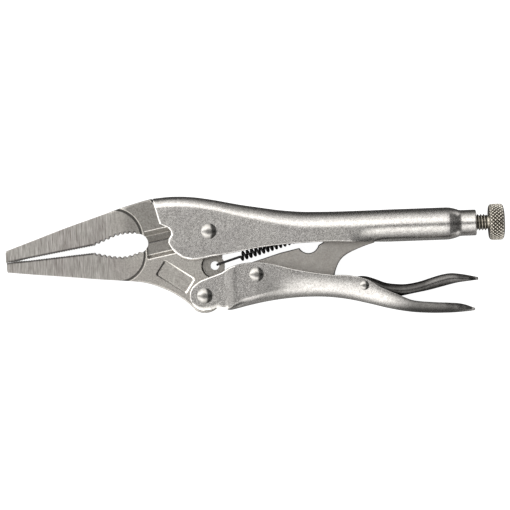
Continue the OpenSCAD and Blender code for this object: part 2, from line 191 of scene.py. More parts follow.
def piece(name, body, nodes, vertices, faces, material, sharp=35, painted_light=None):
    """A mesh that rides on a body and stands for CAD nodes.  Its painted light level is -1 to 1 at
    each
    vertex: up to 1 where its material is darkened with painted shade, in grooves and recesses, and
    down to -1 where it is brightened with a painted highlight on ridges."""
    mesh = bpy.data.meshes.new(name)
    points = to_row(vertices)
    mesh.from_pydata([tuple(v) for v in points], [], [tuple(int(i) for i in f) for f in faces])
    # Painted shade above 0 and painted highlight below 0 at each vertex, kept as a mesh attribute
    depth = np.zeros(len(points)) if painted_light is None else np.asarray(painted_light, float)
    layer = mesh.attributes.new("painted_light", "FLOAT", "POINT")
    layer.data.foreach_set("value", depth.astype(np.float32))
    bm = bmesh.new()
    bm.from_mesh(mesh)
    bmesh.ops.remove_doubles(bm, verts=bm.verts, dist=2e-6)
    bmesh.ops.dissolve_degenerate(bm, edges=bm.edges, dist=1e-7)
    loose = [v for v in bm.verts if not v.link_faces]
    bmesh.ops.delete(bm, geom=loose, context="VERTS")
    bmesh.ops.recalc_face_normals(bm, faces=bm.faces)
    for e in bm.edges:
        e.smooth = not (len(e.link_faces) == 2 and e.calc_face_angle(0) > math.radians(sharp))
    for f in bm.faces:
        f.smooth = True
    bm.to_mesh(mesh)
    bm.free()
    obj = bpy.data.objects.new(name, mesh)
    bpy.context.scene.collection.objects.link(obj)
    weighted = obj.modifiers.new("weighted", "WEIGHTED_NORMAL")
    weighted.keep_sharp = True
    mesh.materials.append(material)
    if body:
        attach(obj, body)
    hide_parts(*nodes)
    return obj


def rim_faces(faces, n):
    """Faces that join each open edge to the same edge n vertices on."""
    used = dict.fromkeys((a, b) for f in faces for a, b in zip(f, f[1:] + f[:1]))
    return [(b, a, a + n, b + n) for a, b in used if (b, a) not in used]


def relief(name, body, nodes, material, outline, holes, lines, height, soft, painted_light):
    """A plate whose two sides are height fields, mirrored in Z.  lines are folds of the surface,
    soft are [stretch of outline, radius] pairs whose edges are rounded, height gives the surface's
    height at each point, and the last argument its painted light level there: painted shade above
    0, painted highlight below."""
    rims = [np.asarray(outline, float)] + [np.asarray(h, float) for h in holes]
    points, edges = [], []

    def add(line, closed):
        start = len(points)
        points.extend(line)
        edges.extend((start + i, start + i + 1) for i in range(len(line) - 1))
        if closed:
            edges.append((len(points) - 1, start))

    for rim in rims:
        add(rim, True)
    for line, soft_r in soft:
        along = np.gradient(line, axis=0)
        normal = np.stack([-along[:, 1], along[:, 0]], 1)
        normal /= np.linalg.norm(normal, axis=1)[:, None]
        probe = line + normal * soft_r * 0.5
        sign = 1 if inside(probe, rims[0]).mean() > 0.5 else -1
        for step in (0.06, 0.22, 0.5, 1.0):
            add(line + sign * normal * soft_r * step, False)
    for line in lines:
        add(np.asarray(line, float), False)
    verts, _, faces, *_ = delaunay_2d_cdt([Vector(p) for p in points], edges, [], 0, 1e-5)
    flat = np.array([v[:] for v in verts])
    centres = np.array([flat[list(f)].mean(0) for f in faces])
    keep = inside(centres, rims[0])
    for hole in rims[1:]:
        keep &= ~inside(centres, hole)
    faces = [tuple(f) for f, k in zip(faces, keep) if k]
    z = height(flat)
    for line, soft_r in soft:
        z = z - rounding(distance(flat, line), soft_r)
    n = len(flat)
    top = np.column_stack([flat, z])
    bottom = np.column_stack([flat, -z])
    solid = faces + [tuple(i + n for i in reversed(f)) for f in faces]
    solid += rim_faces(faces, n)
    return piece(name, body, nodes, np.vstack([top, bottom]), solid, material,
                 painted_light=np.tile(painted_light(flat), 2))


def shell(name, body, outer, normal, thick, drop, tone, mask=None):
    """A handle of sheet metal: an outer surface on a grid, lowered by drop at its edges, and the
    same surface thick below it.  Faces where mask is false are left out, and every open border is
    closed across the sheet.  tone is the painted light level of the outer surface: painted shade
    above 0, painted highlight below."""
    rows, cols = outer.shape[:2]
    top = outer - normal * drop[..., None]
    under = outer - normal * (thick - drop)[..., None]
    n = rows * cols
    index = np.arange(n).reshape(rows, cols)
    quads = []
    for i in range(rows - 1):
        for j in range(cols - 1):
            if mask is None or mask[i, j]:
                quads.append((index[i, j], index[i + 1, j], index[i + 1, j + 1], index[i, j + 1]))
    faces = quads + [tuple(i + n for i in reversed(f)) for f in quads] + rim_faces(quads, n)
    points = np.vstack([top.reshape(-1, 3), under.reshape(-1, 3)])
    return piece(name, body, [body], points, faces, NICKEL, 40,
                 np.concatenate([tone.reshape(-1), np.zeros(n)]))


def tube_grid(rings):
    """Faces of a tube through equal rings of points, with both ends closed."""
    m, k = len(rings), len(rings[0])
    faces = [(i * k + j, i * k + (j + 1) % k, (i + 1) * k + (j + 1) % k, (i + 1) * k + j)
             for i in range(m - 1) for j in range(k)]
    return faces + [tuple(range(k - 1, -1, -1)), tuple((m - 1) * k + j for j in range(k))]


def round_section(x, r, angle):
    """A ring about the screw's axis at x, with a radius r for each angle."""
    return np.column_stack([np.full(len(angle), x), AXIS_Y + r * np.cos(angle), r * np.sin(angle)])


# ---------------------------------------------------------------- materials


# How much brighter a painted highlight on a ridge is than the metal round it
HIGHLIGHT_GAIN = 2.3


class Tree:
    """Small helper to lay out a node tree."""

    def __init__(self, tree):
        self.tree = tree

    def new(self, kind, **values):
        node = self.tree.nodes.new(kind)
        for key, value in values.items():
            if key in node.inputs:
                node.inputs[key].default_value = value
            else:
                setattr(node, key, value)
        return node

    def link(self, a, b):
        self.tree.links.new(a, b)

    def ramp(self, source, stops):
        node = self.new("ShaderNodeValToRGB")
        ramp = node.color_ramp
        while len(ramp.elements) < len(stops):
            ramp.elements.new(0.5)
        for element, (at, value) in zip(ramp.elements, stops):
            element.position = at
            element.color = (*value, 1) if isinstance(value, tuple) else (value,) * 3 + (1,)
        self.link(source, node.inputs["Fac"])
        return node.outputs["Color"]

    def mix(self, a, b, factor=1.0, blend="MULTIPLY"):
        node = self.new("ShaderNodeMix", data_type="RGBA", blend_type=blend)
        for socket, value in zip((0, 6, 7), (factor, a, b)):
            if isinstance(value, float):
                node.inputs[socket].default_value = value
            else:
                self.link(value, node.inputs[socket])
        return node.outputs[2]

    def math(self, operation, *values):
        node = self.new("ShaderNodeMath", operation=operation)
        for value, socket in zip(values, node.inputs):
            if isinstance(value, (int, float)):
                socket.default_value = value
            else:
                self.link(value, socket)
        return node.outputs[0]


class Nodes(Tree):
    """A material, a metal unless it is told otherwise."""

    def __init__(self, name):
        self.material = bpy.data.materials.new(name)
        self.material.use_nodes = True
        super().__init__(self.material.node_tree)
        self.shader = self.tree.nodes["Principled BSDF"]
        self.shader.inputs["Metallic"].default_value = 1.0
        self.coord = self.new("ShaderNodeTexCoord").outputs["Object"]

    def noise(self, scale, detail=3.0, stretch=None, roughness=0.6, turn=0.0):
        source = self.coord
        if stretch:
            mapping = self.new("ShaderNodeMapping")
            mapping.inputs["Scale"].default_value = stretch
            mapping.inputs["Rotation"].default_value = (0, 0, turn)
            self.link(source, mapping.inputs["Vector"])
            source = mapping.outputs["Vector"]
        node = self.new("ShaderNodeTexNoise", Scale=scale, Detail=detail, Roughness=roughness)
        self.link(source, node.inputs["Vector"])
        return node.outputs["Fac"]

    def bump(self, heights):
        """Bumps one over another; each is (source, depth in metres)."""
        previous = None
        for source, depth in heights:
            node = self.new("ShaderNodeBump", Distance=depth, Strength=1.0)
            self.link(source, node.inputs["Height"])
            if previous:
                self.link(previous, node.inputs["Normal"])
            previous = node.outputs["Normal"]
        self.link(previous, self.shader.inputs["Normal"])

    def with_painted_light(self, colour, darkest):
        """The colour with painted light: darker, as painted shade, where the mesh's painted light
        attribute is 1, and brighter, as a painted highlight, where it is -1.
        """
        depth = self.new("ShaderNodeAttribute", attribute_name="painted_light").outputs["Fac"]
        share = self.math("ADD", self.math("MULTIPLY", depth, 0.5), 0.5)
        shade = self.ramp(share, [(0.0, HIGHLIGHT_GAIN), (0.5, 1.0), (1.0, darkest)])
        return self.mix(colour, shade)

    def spread(self, source, share, base):
        """A roughness that varies with the source: base, plus a share of it."""
        return self.math("ADD", self.math("MULTIPLY", source, share), base)

    def finish(self, colour, rough):
        self.link(colour, self.shader.inputs["Base Color"])
        if isinstance(rough, float):
            self.shader.inputs["Roughness"].default_value = rough
        else:
            self.link(rough, self.shader.inputs["Roughness"])
        return self.material


def pressed_nickel():
    """Satin nickel plate over sheet with a fine pebbled grain."""
    m = Nodes("pressed_nickel")
    grain = m.noise(1500, 3.0, roughness=0.75)
    mottle = m.noise(420, 4.0)
    cloud = m.noise(60, 3.0)
    tone = m.ramp(grain, [(0.36, (0.5, 0.49, 0.48)), (0.64, (0.88, 0.87, 0.855))])
    patch = m.ramp(mottle, [(0.35, (0.86, 0.85, 0.84)), (0.65, (1.0, 0.995, 0.985))])
    colour = m.mix(tone, patch)
    wide = m.ramp(cloud, [(0.35, (0.93, 0.925, 0.93)), (0.65, (1.0, 1.0, 0.99))])
    colour = m.mix(colour, wide)
    rough = m.spread(grain, 0.12, 0.21)
    m.bump([(mottle, 0.000026), (grain, 0.00002)])
    return m.finish(m.with_painted_light(colour, 0.08), rough)


# The grinding marks fade in towards the tips, from this far in front of the row's origin, in
# metres, over a stretch of 1 / NOSE_FADE
NOSE_FROM = 3.4 / 60
NOSE_FADE = 60.0


def ground_steel():
    """Jaw steel: cross-wise grinding marks on the nose, a finer forged grain behind it."""
    m = Nodes("ground_steel")
    scratch = m.noise(260, 5.0, stretch=(9.0, 0.55, 1.0), roughness=0.7, turn=math.radians(-6))
    fine = m.noise(900, 2.0, stretch=(4.0, 0.7, 1.0), turn=math.radians(-6))
    grain = m.noise(1500, 3.0, roughness=0.75)
    cloud = m.noise(70, 3.0)
    place = m.new("ShaderNodeSeparateXYZ")
    m.link(m.coord, place.inputs["Vector"])
    nose = m.ramp(m.math("MULTIPLY_ADD", place.outputs["X"], -NOSE_FADE, -NOSE_FADE * NOSE_FROM),
                  [(0.0, 0.0), (1.0, 1.0)])
    streak = m.ramp(scratch, [(0.34, (0.25, 0.235, 0.22)), (0.52, (0.46, 0.445, 0.425)),
                              (0.7, (0.7, 0.685, 0.67))])
    root = m.ramp(grain, [(0.36, (0.38, 0.365, 0.34)), (0.64, (0.66, 0.645, 0.61))])
    steel = m.mix(root, streak, nose, "MIX")
    patch = m.ramp(cloud, [(0.35, (0.9, 0.88, 0.88)), (0.65, (1.0, 1.0, 0.99))])
    colour = m.with_painted_light(m.mix(steel, patch), 0.1)
    rough = m.spread(fine, 0.14, 0.27)
    m.bump([(scratch, 0.00001), (grain, 0.000004)])
    return m.finish(colour, rough)


def dark_link_steel():
    """Hardened plate, browner and duller than the handles."""
    m = Nodes("dark_link_steel")
    grain = m.noise(1800, 3.0)
    cloud = m.noise(150, 4.0)
    tone = m.ramp(grain, [(0.3, (0.33, 0.317, 0.3)), (0.7, (0.48, 0.463, 0.44))])
    patch = m.ramp(cloud, [(0.3, (0.86, 0.85, 0.83)), (0.7, (1.0, 1.0, 1.0))])
    rough = m.spread(grain, 0.15, 0.34)
    m.bump([(grain, 0.000012)])
    return m.finish(m.with_painted_light(m.mix(tone, patch), 0.1), rough)


def polished_nickel():
    m = Nodes("polished_nickel")
    cloud = m.noise(900, 3.0)
    tone = m.ramp(cloud, [(0.35, (0.38, 0.368, 0.348)), (0.65, (0.49, 0.48, 0.465))])
    rough = m.spread(cloud, 0.1, 0.17)
    m.bump([(cloud, 0.000004)])
    return m.finish(tone, rough)


def screw_steel():
    """Plated steel with a warm cast, with painted shade in the hollows and painted highlights on the
    crests.
    """
    m = Nodes("screw_steel")
    grain = m.noise(1500, 3.0)
    cloud = m.noise(260, 3.0)
    tone = m.ramp(grain, [(0.3, (0.36, 0.34, 0.3)), (0.7, (0.54, 0.515, 0.465))])
    patch = m.ramp(cloud, [(0.35, (0.85, 0.84, 0.82)), (0.65, (1.0, 1.0, 1.0))])
    rough = m.spread(grain, 0.12, 0.22)
    m.bump([(grain, 0.000008)])
    return m.finish(m.with_painted_light(m.mix(tone, patch), 0.12), rough)


def black_wire():
    """Oiled black spring wire."""
    m = Nodes("black_wire")
    grain = m.noise(2200, 3.0)
    tone = m.ramp(grain, [(0.3, (0.012, 0.012, 0.013)), (0.7, (0.035, 0.034, 0.034))])
    rough = m.spread(grain, 0.15, 0.3)
    m.bump([(grain, 0.000006)])
    m.shader.inputs["Metallic"].default_value = 0.6
    return m.finish(tone, rough)


def floor_paper():
    m = Nodes("floor_paper")
    m.shader.inputs["Metallic"].default_value = 0.0
    grain = m.noise(300, 2.0)
    tone = m.ramp(grain, [(0.3, (0.2, 0.2, 0.2)), (0.7, (0.22, 0.22, 0.22))])
    m.shader.inputs["Emission Color"].default_value = (1, 1, 1, 1)
    m.shader.inputs["Emission Strength"].default_value = 0.97
    return m.finish(tone, 0.9)


NICKEL = pressed_nickel()
JAW = ground_steel()
LINK = dark_link_steel()
POLISHED = polished_nickel()
SCREW = screw_steel()
WIRE = black_wire()

# ---------------------------------------------------------------- jaws

GRIP_X0 = X_MIN + 0.2
GRIP_X1 = -55.4
FIXED_GRIP = (-11.78, -4.95)
MOVING_GRIP = (-11.84, -8.3)
GRIP_TEETH = int((GRIP_X1 - GRIP_X0) / 1.2)
GRIP_DEPTH = 0.5
THROAT_TEETH = 9
THROAT_DEPTH = 0.95
FIXED_TOP = [[-97, -5.9], [-84.2, -1.5], [-69.6, 3.6], [-52.1, 9.2], [-43.3, 12.1],
             [-34.6, 14.6], [-30, 15.8], [-27, 16.4]]
SHANK_TOP = [[-27, 14.2], [-18, 14.8], [-8.6, 14.3], [1, 12.8], [9, 11.1]]
FIXED_THROAT = [[GRIP_X1, FIXED_GRIP[1]], [-49.2, -2.5], [-44.6, -0.7], [-39.8, 0.1], [-34.6, 0]]
MOVING_THROAT = [[GRIP_X1, MOVING_GRIP[1]], [-50.3, -9.5], [-45.5, -10.4], [-41, -10.6],
                 [-37, -9.8], [-33.6, -8.6]]
MOVING_BOTTOM = [[-97, -16.4], [-87.6, -17.5], [-70.4, -19.3], [-53.2, -21.2], [-34, -23.1],
                 [-28.5, -24.4], [-23.1, -26.5], [-17.7, -29.2], [-12.3, -33], [-8, -37]]
THROAT_REAR = (-29.4, 4.6)
JAW_HALF = 4.7
SHANK_HALF = 4.9
JAW_GAP = 0.02
BOSS_R = 8.2
BOSS_GAP = 0.4
# Where the parting line meets the boss, in degrees round the main pivot
PART_TURN = 184.5
JAW_END_R = 8.3
NOSE_ROOT = 4.2
NOSE_TIP = 3.1
FIXED_GROUND = (-46.5, -1.9, 13.3)
MOVING_GROUND = (-43.9, -9.9, 12.0)
# The cutter's bevels: [width of the steep one, where the shallow one ends, X of both ends,
# direction from the parting line]
FIXED_CUTTER = (3.3, 5.7, -30.6, -17, 1)
MOVING_CUTTER = (5.7, 7.8, -29.6, -16, -1)
# Half thickness at the cutter's edge, and where the steep bevel ends
EDGE_HALF = 0.3
BEVEL_HALF = 2.6
BEVEL_RISE = 2.4
# How far past each end the bevels run out into the jaw
BEVEL_END = 0.8
PART_START = 0.95
PART_SLOPE = 0.192
# A height above every surface of the jaws
CLEAR = 9.0
COVE = 1.4
RIDGE = 0.3
EAR = np.array([1.7, -16.7])
EAR_R = 5.3
EAR_HALF = 1.4
RECESS_R = 5.4
# The way the ear's recess runs out to its edge
RECESS_TURN = math.radians(20)
RECESS_OUT = 14
SPRING_HOLE = np.array([2.2, -16.6])
SPRING_HOLE_R = 2.05
PANEL = np.array([-16.8, -21.3])
PANEL_SIZE = np.array([16, 7.2])
PANEL_R = 0.8
PANEL_TURN = math.radians(-33.5)
PANEL_DEPTH = 0.4
PANEL_WALL = 0.7
BORE_R = 2.65
WALL = 0.55


def part_y(x):
    """The parting line between the jaws behind the throat."""
    return PART_START + PART_SLOPE * x


def from_parting(p, direction):
    """Distance from the parting line, into the jaw that lies in that direction."""
    return (p[:, 1] - part_y(p[:, 0])) * direction / math.hypot(1, PART_SLOPE)


def ground(p, where, half):
    """Height of the sides: ground to a taper on the nose, with a cove where the wheel stopped."""
    cx, cy, r = where
    taper = (NOSE_ROOT - NOSE_TIP) / (cx - X_MIN)
    plane = NOSE_ROOT + np.minimum(p[:, 0] - cx, 0) * taper
    d = np.hypot(p[:, 0] - cx, p[:, 1] - cy) - r
    d = np.where(p[:, 0] < cx, -1.0, d)
    rise = np.clip(d / COVE, 0, 1)
    return plane + (half - plane) * (1 - np.sqrt(np.maximum(1 - rise**2, 0)))


def ground_lines(where, low, high):
    """Folds along the cove, from y = low to high."""
    cx, cy, r = where
    out = []
    for d in (0, 0.25, 0.6, 0.85, 1.0, 1.12, 1.24, 1.4):
        a = arc((cx, cy), r + COVE * d, -90, 90, 60)
        out.append([p for p in a if low - 3 < p[1] < high + 3])
    out += [[(cx, low - 3), (cx, high + 3)]]
    return out


def bevel(p, near, far, x0, x1, direction):
    """Height of the two cutter bevels beside the parting line, and endless elsewhere."""
    n = from_parting(p, direction)
    steep = EDGE_HALF + (BEVEL_HALF - EDGE_HALF) / near * n
    z = np.where(n < near, steep, BEVEL_HALF + (n - near) / (far - near) * BEVEL_RISE)
    past = ease(p[:, 0], x1 - 1e-3, x1 + BEVEL_END) + ease(-p[:, 0], -x0 - 1e-3, -x0 + BEVEL_END)
    away = (p[:, 0] < x0 - BEVEL_END + 0.01) | (p[:, 0] > x1 + BEVEL_END - 0.01)
    return np.where(away, CLEAR, np.maximum(z, EDGE_HALF) * (1 + 8 * past))


def bevel_lines(near, far, x0, x1, direction):
    """Folds along the bevels and across their ends."""
    k = math.hypot(1, PART_SLOPE) * direction
    folds = (0.12, 0.4, near - RIDGE, near, near + RIDGE, far - RIDGE, far, far + RIDGE)
    out = [[(x, part_y(x) + n * k) for x in (x0 - 1, x1 + 1)] for n in folds]
    ends = [x0 - BEVEL_END, x0 - BEVEL_END / 2, x0, x1, x1 + BEVEL_END / 2, x1 + BEVEL_END]
    return out + [[(x, part_y(x) - k), (x, part_y(x) + (far + 0.4) * k)] for x in ends]


def cove(p, where):
    """1, painted shade, in the cove at the end of the ground nose, -0.5, a painted highlight, just
    outside it, else 0.
    """
    d = (np.hypot(p[:, 0] - where[0], p[:, 1] - where[1]) - where[2]) / COVE
    level = np.where((d > 0.05) & (d < 0.97), 1.0, np.where((d > 1.05) & (d < 1.3), -0.5, 0.0))
    return np.where(p[:, 0] >= where[0], level, 0.0)


def cutter(p, near, far, x0, x1, direction, steep):
    """How dark the wire cutter's bevels are: painted shade along the parting line, steep on the
    steep bevel, and painted highlights on the ridges.
    """
    n = from_parting(p, direction)
    ridge = (np.abs(n - near) < RIDGE * 0.6) | (np.abs(n - far) < RIDGE * 0.6)
    level = np.where(n < 0.2, 1.0, np.where(ridge, -1.0, np.where(n < near, steep, 0.0)))
    return np.where((p[:, 0] > x0 - 0.1) & (p[:, 0] < x1 + 0.5), level, 0.0)


def either(a, b):
    """The stronger of two painted light levels at each point."""
    return np.where(np.abs(a) > np.abs(b), a, b)


def tooth_roots(p, grip, throat, side):
    """Painted shade: 1 at the roots of the gripping teeth, fading to 0 inside the jaw; side is 1 or
    -1.
    """
    x, y = p[:, 0], p[:, 1]
    straight = grip[0] + (grip[1] - grip[0]) * (x - GRIP_X0) / (GRIP_X1 - GRIP_X0)
    curve = smooth(throat, np.maximum(x, GRIP_X1))
    deep = np.where(x < GRIP_X1, GRIP_DEPTH, THROAT_DEPTH) * meshing(x)
    rise = ((y - np.where(x < GRIP_X1, straight, curve)) * side + closer(x)) / deep
    level = np.where((rise > 0.5) & (rise < 1.1), 1.0, 0.1 * ((rise > -0.1) & (rise <= 0.5)))
    return np.where(x < throat[-1][0] - 0.05, level, 0.0)


def tooth_lines(grip, throat, side):
    """Folds just behind the teeth."""
    out = [[(GRIP_X0, grip[0] + side * 1.0), (GRIP_X1, grip[1] + side * 1.2)]]
    line = run(throat, GRIP_X1, throat[-1][0], 24)
    return out + [line + [0, side * 1.35]]


def fixed_jaw():
    top = run(FIXED_TOP, -97, -27, 60)
    rear = THROAT_REAR
    outline = np.vstack([
        [[X_MIN, -11.2], [X_MIN, -7.2], [X_MIN + 0.3, -6.3]], top,
        run(SHANK_TOP, -26.98, 9, 12), arc((0, 0), BOSS_R + BOSS_GAP, 30, PART_TURN, 40),
        [[rear[0], part_y(rear[0])]],
        arc((rear[0] - rear[1], part_y(rear[0])), rear[1], 6, 85, 14),
        teeth(FIXED_THROAT, GRIP_X1, -34.6, THROAT_TEETH, THROAT_DEPTH)[::-1],
        teeth([[GRIP_X0, FIXED_GRIP[0]], [GRIP_X1, FIXED_GRIP[1]]], GRIP_X0, GRIP_X1, GRIP_TEETH,
              GRIP_DEPTH)[::-1]])

    def height(p):
        return np.minimum(ground(p, FIXED_GROUND, SHANK_HALF), bevel(p, *FIXED_CUTTER))

    # Painted shade in the cove, on the parting line and at the tooth roots, painted highlights on
    # the bevels' ridges and beside the cove, and darker on the steep bevel and on the root above the
    # bevels
    def painted_light(p):
        deep = either(cove(p, FIXED_GROUND), cutter(p, *FIXED_CUTTER, 0.3))
        root = 0.4 * ease(p[:, 0], -42, -38) * (p[:, 1] > part_y(p[:, 0]) + FIXED_CUTTER[1] * 1.06)
        return either(either(deep, tooth_roots(p, FIXED_GRIP, FIXED_THROAT, 1)), root)

    lines = ground_lines(FIXED_GROUND, -14, 14) + bevel_lines(*FIXED_CUTTER)
    lines += tooth_lines(FIXED_GRIP, FIXED_THROAT, 1)
    return relief("fixed_jaw_ground_nose", "upper_handle", ["fixed_jaw"], JAW,
                  outline, [], lines, height, soft=[(top[1:44], 0.2), (top[43:-1], 0.6)],
                  painted_light=painted_light)


def moving_jaw():
    bottom = run(MOVING_BOTTOM, -97, -8, 70)
    rear = THROAT_REAR
    outer_end = arc(JAW_PIVOT, JAW_END_R, 232, 352, 26)
    outline = np.vstack([
        [[X_MIN + 0.35, -12.0], [X_MIN + 0.5, -15.7], [X_MIN + 0.62, -16.2]], bottom, outer_end,
        [EAR + [EAR_R - 0.05, -2.2]], arc(EAR, EAR_R, -16, 38, 12),
        arc((0, 0), BOSS_R, -38, PART_TURN, 48),
        [[rear[0], part_y(rear[0]) - JAW_GAP]],
        arc((rear[0] - rear[1], part_y(rear[0]) - JAW_GAP), rear[1], -6, -70, 12),
        teeth(MOVING_THROAT, GRIP_X1, -33.6, THROAT_TEETH, -THROAT_DEPTH)[::-1],
        teeth([[GRIP_X0, MOVING_GRIP[0]], [GRIP_X1, MOVING_GRIP[1]]], GRIP_X0, GRIP_X1, GRIP_TEETH,
              -GRIP_DEPTH)[::-1]])
    turn = np.array([[math.cos(PANEL_TURN), math.sin(PANEL_TURN)],
                     [-math.sin(PANEL_TURN), math.cos(PANEL_TURN)]])
    along = np.array([math.cos(RECESS_TURN), math.sin(RECESS_TURN)])
    across = np.array([-along[1], along[0]])

    def panel_box(grow):
        h = PANEL_SIZE / 2 + grow
        r = PANEL_R
        corners = [((h[0] - r, h[1] - r), 0), ((r - h[0], h[1] - r), 90),
                   ((r - h[0], r - h[1]), 180), ((h[0] - r, r - h[1]), 270)]
        ring = np.vstack([arc(c, r, a, a + 90, 6) for c, a in corners])
        ring = np.vstack([ring, ring[:1]])
        return ring @ turn + PANEL

    def panel_d(p):
        q = np.abs((p - PANEL) @ turn.T) - PANEL_SIZE / 2 + PANEL_R
        out = np.maximum(q, 0)
        return np.hypot(out[:, 0], out[:, 1]) + np.minimum(q.max(1), 0) - PANEL_R

    def recess_d(p):
        v = p - EAR
        return np.where(v @ along > 0, np.abs(v @ across), np.hypot(v[:, 0], v[:, 1])) - RECESS_R

    def height(p):
        z = ground(p, MOVING_GROUND, JAW_HALF)
        z = np.minimum(z, bevel(p, *MOVING_CUTTER))
        z = z - PANEL_DEPTH * (1 - np.clip(panel_d(p) / PANEL_WALL, 0, 1))
        wall = np.clip(recess_d(p) / WALL, 0, 1)
        return np.minimum(z, EAR_HALF + (JAW_HALF - EAR_HALF) * wall)

    def recess_ring(grow):
        r = RECESS_R + grow
        ring = arc(EAR, r, 110, 290, 40)
        out = EAR + along * RECESS_OUT
        return np.vstack([[out + across * r], ring, [out - across * r]])

    # Painted shade in the ear's recess, on the panel's upper-left wall, in the cove, on the parting
    # line and at the tooth roots, painted highlights on the panel's lower-right wall, on the bevels'
    # ridges and beside the cove, and darker on the steep bevel
    def painted_light(p):
        d = recess_d(p)
        recess = np.where(d < 0, 0.3, np.where(d < WALL, 1.0, 0.0))
        edge = panel_d(p)
        lit = np.sign((p - PANEL) @ np.array([-0.7, 0.7]))
        panel = np.where((edge > 0.1) & (edge < PANEL_WALL + 0.05), 0.9 * lit, 0.0)
        deep = either(cove(p, MOVING_GROUND), cutter(p, *MOVING_CUTTER, 0.8))
        deep = either(deep, tooth_roots(p, MOVING_GRIP, MOVING_THROAT, -1))
        return either(either(deep, panel), recess)

    lines = ground_lines(MOVING_GROUND, -24, -2) + bevel_lines(*MOVING_CUTTER)
    lines += tooth_lines(MOVING_GRIP, MOVING_THROAT, -1)
    lines += [panel_box(grow) for grow in (0, 0.2, PANEL_WALL, PANEL_WALL + 0.15)]
    lines += [recess_ring(grow) for grow in (-0.15, 0, WALL, WALL + 0.15)]
    holes = [hole((0, 0), BORE_R), hole(JAW_PIVOT, BORE_R), hole(SPRING_HOLE, SPRING_HOLE_R)]
    lines += [arc(SPRING_HOLE, SPRING_HOLE_R + 0.25, 0, 360, 48)]
    return relief("moving_jaw_ground_nose", "moving_jaw", ["moving_jaw"], JAW,
                  outline, holes, lines, height,
                  soft=[(bottom[1:50], 0.2), (np.vstack([bottom[49:], outer_end]), 0.65)],
                  painted_light=painted_light)


# ---------------------------------------------------------------- folded handles


def corner_radius(radius, half, depth):
    """The corner's radius, kept within the half width and the depth of the fold."""
    return min(radius, half - 0.02, 0.93 * depth)


def sheet_section(top, edge, half, radius, curl=0.0):
    """One half of a folded sheet, sampled from its free edge to the middle of its roof.
    curl is the angle through which the side has been rolled under."""
    radius = corner_radius(radius, half, abs(top - edge))
    direction = 1 if top > edge else -1
    depth = abs(top - edge) - radius
    out = []
    for v in WALL_SAMPLES:
        if curl < 0.02:
            out.append((top - direction * (radius + depth - v * depth), half, 0, 1))
        else:
            a = curl * (1 - v)
            rho = depth / math.sin(curl)
            out.append((top - direction * (radius + rho * math.sin(a)),
                        half - rho * (1 - math.cos(a)), -direction * math.sin(a), math.cos(a)))
    for a in np.radians(np.linspace(0, 90, CORNER_STEPS + 1))[1:]:
        out.append((top - direction * radius * (1 - math.sin(a)), half - radius * (1 - math.cos(a)),
                    direction * math.sin(a), math.cos(a)))
    out.append((top, 0, direction, 0))
    return np.array(out)


CORNER_STEPS = 12
WALL_SAMPLES = np.concatenate([[0, 0.008, 0.024, 0.05], np.linspace(0.1, 1, 12)])
WALLS = len(WALL_SAMPLES)
# Radii to which the sheet's free edges and the upper handle's front edge are rounded
RIM = 0.42
FRONT_RIM = 0.85
# A distance at which an edge has no effect
FAR = 9


def handle_grid(xs, top, edge, half, radius, thick, curl=lambda x: 0.0):
    """Outer points, normals and thickness of a folded handle, both sides, station by station."""
    points, normals = [], []
    for x in xs:
        s = sheet_section(top(x), edge(x), half(x), radius(x), curl(x))
        s = np.vstack([s, (s * [1, -1, 1, -1])[-2::-1]])
        points.append(np.column_stack([np.full(len(s), x), s[:, 0], s[:, 1]]))
        normals.append(np.column_stack([np.zeros(len(s)), s[:, 2], s[:, 3]]))
    shape = np.array(points)
    sheet = np.array([thick(x) for x in xs])[:, None] * np.ones(shape.shape[1])
    return shape, np.array(normals), sheet


def along_edges(shape):
    """Distance of each grid point along its section from the nearer free edge."""
    step = np.linalg.norm(np.diff(shape, axis=1), axis=2)
    run_in = np.concatenate([np.zeros((len(shape), 1)), np.cumsum(step, 1)], 1)
    return np.minimum(run_in, run_in[:, -1:] - run_in)


UPPER_TOP = [[-28, 16.4], [-18, 17.1], [-8.6, 16.7], [1, 15.2], [15, 12.2], [25, 10.4], [34, 8.9],
             [44, 7.8], [54, 7.4], [64, 7.25], [90, 7.3]]
UPPER_EDGE = [[-28, -11], [-17, -9.4], [-14.3, -11.5], [-11.6, -12.8], [-8.8, -13.5],
              [-6.1, -13.6], [-3.4, -13.2], [2.2, -12.1], [12, -10.6], [24, -8.7], [36, -7.6],
              [48, -7.1], [58, -7], [68, -7.5], [78, -8.0], [90, -8.15]]
UPPER_HALF = [[-28, 6.9], [5, 6.9], [20, 7.1], [45, 7.7], [66, 7.75]]
UPPER_RADIUS = [[-28, 5], [5, 5.4], [20, 6.2], [45, 7.75], [90, 7.75]]
TUBE_R = [[88, 7.75], [113.6, 7.75], [115.2, 7.68], [116.6, 7.4], [118.4, 6.95], [119.8, 6.4],
          [120.8, 6.22], [122, 6.2], [127.4, 6.2]]
NECK_END = 128.2
SHEET = 2.0
CURL_FROM = 67
CURL_TO = 88
# The front is drawn to its own edge as far as this X
FRONT_END = 2.0
# The lobe's lower corner
CORNER = (-15.2, -10.9)
FRONT_RAKE = math.radians(14.5)
NOTCH = (-21.3, -0.5)
NOTCH_R = 3.2
# [y, x] down the front of the lobe
LOBE = [[-14, -13.2], [-10.9, -15.2], [-9.4, -17.0], [-7.4, -18.4], [-5.2, -19.6], [-3.9, -20.6],
        [-3, -21.3], [4, -23.3]]
# The sheet becomes a tube between these, and the tube's bore narrows to the screw's
TUBE_X = (80, 90)
BORE = (5.75, 4.0)
BORE_X = (114.6, 118)
NECK_RIM = 0.6


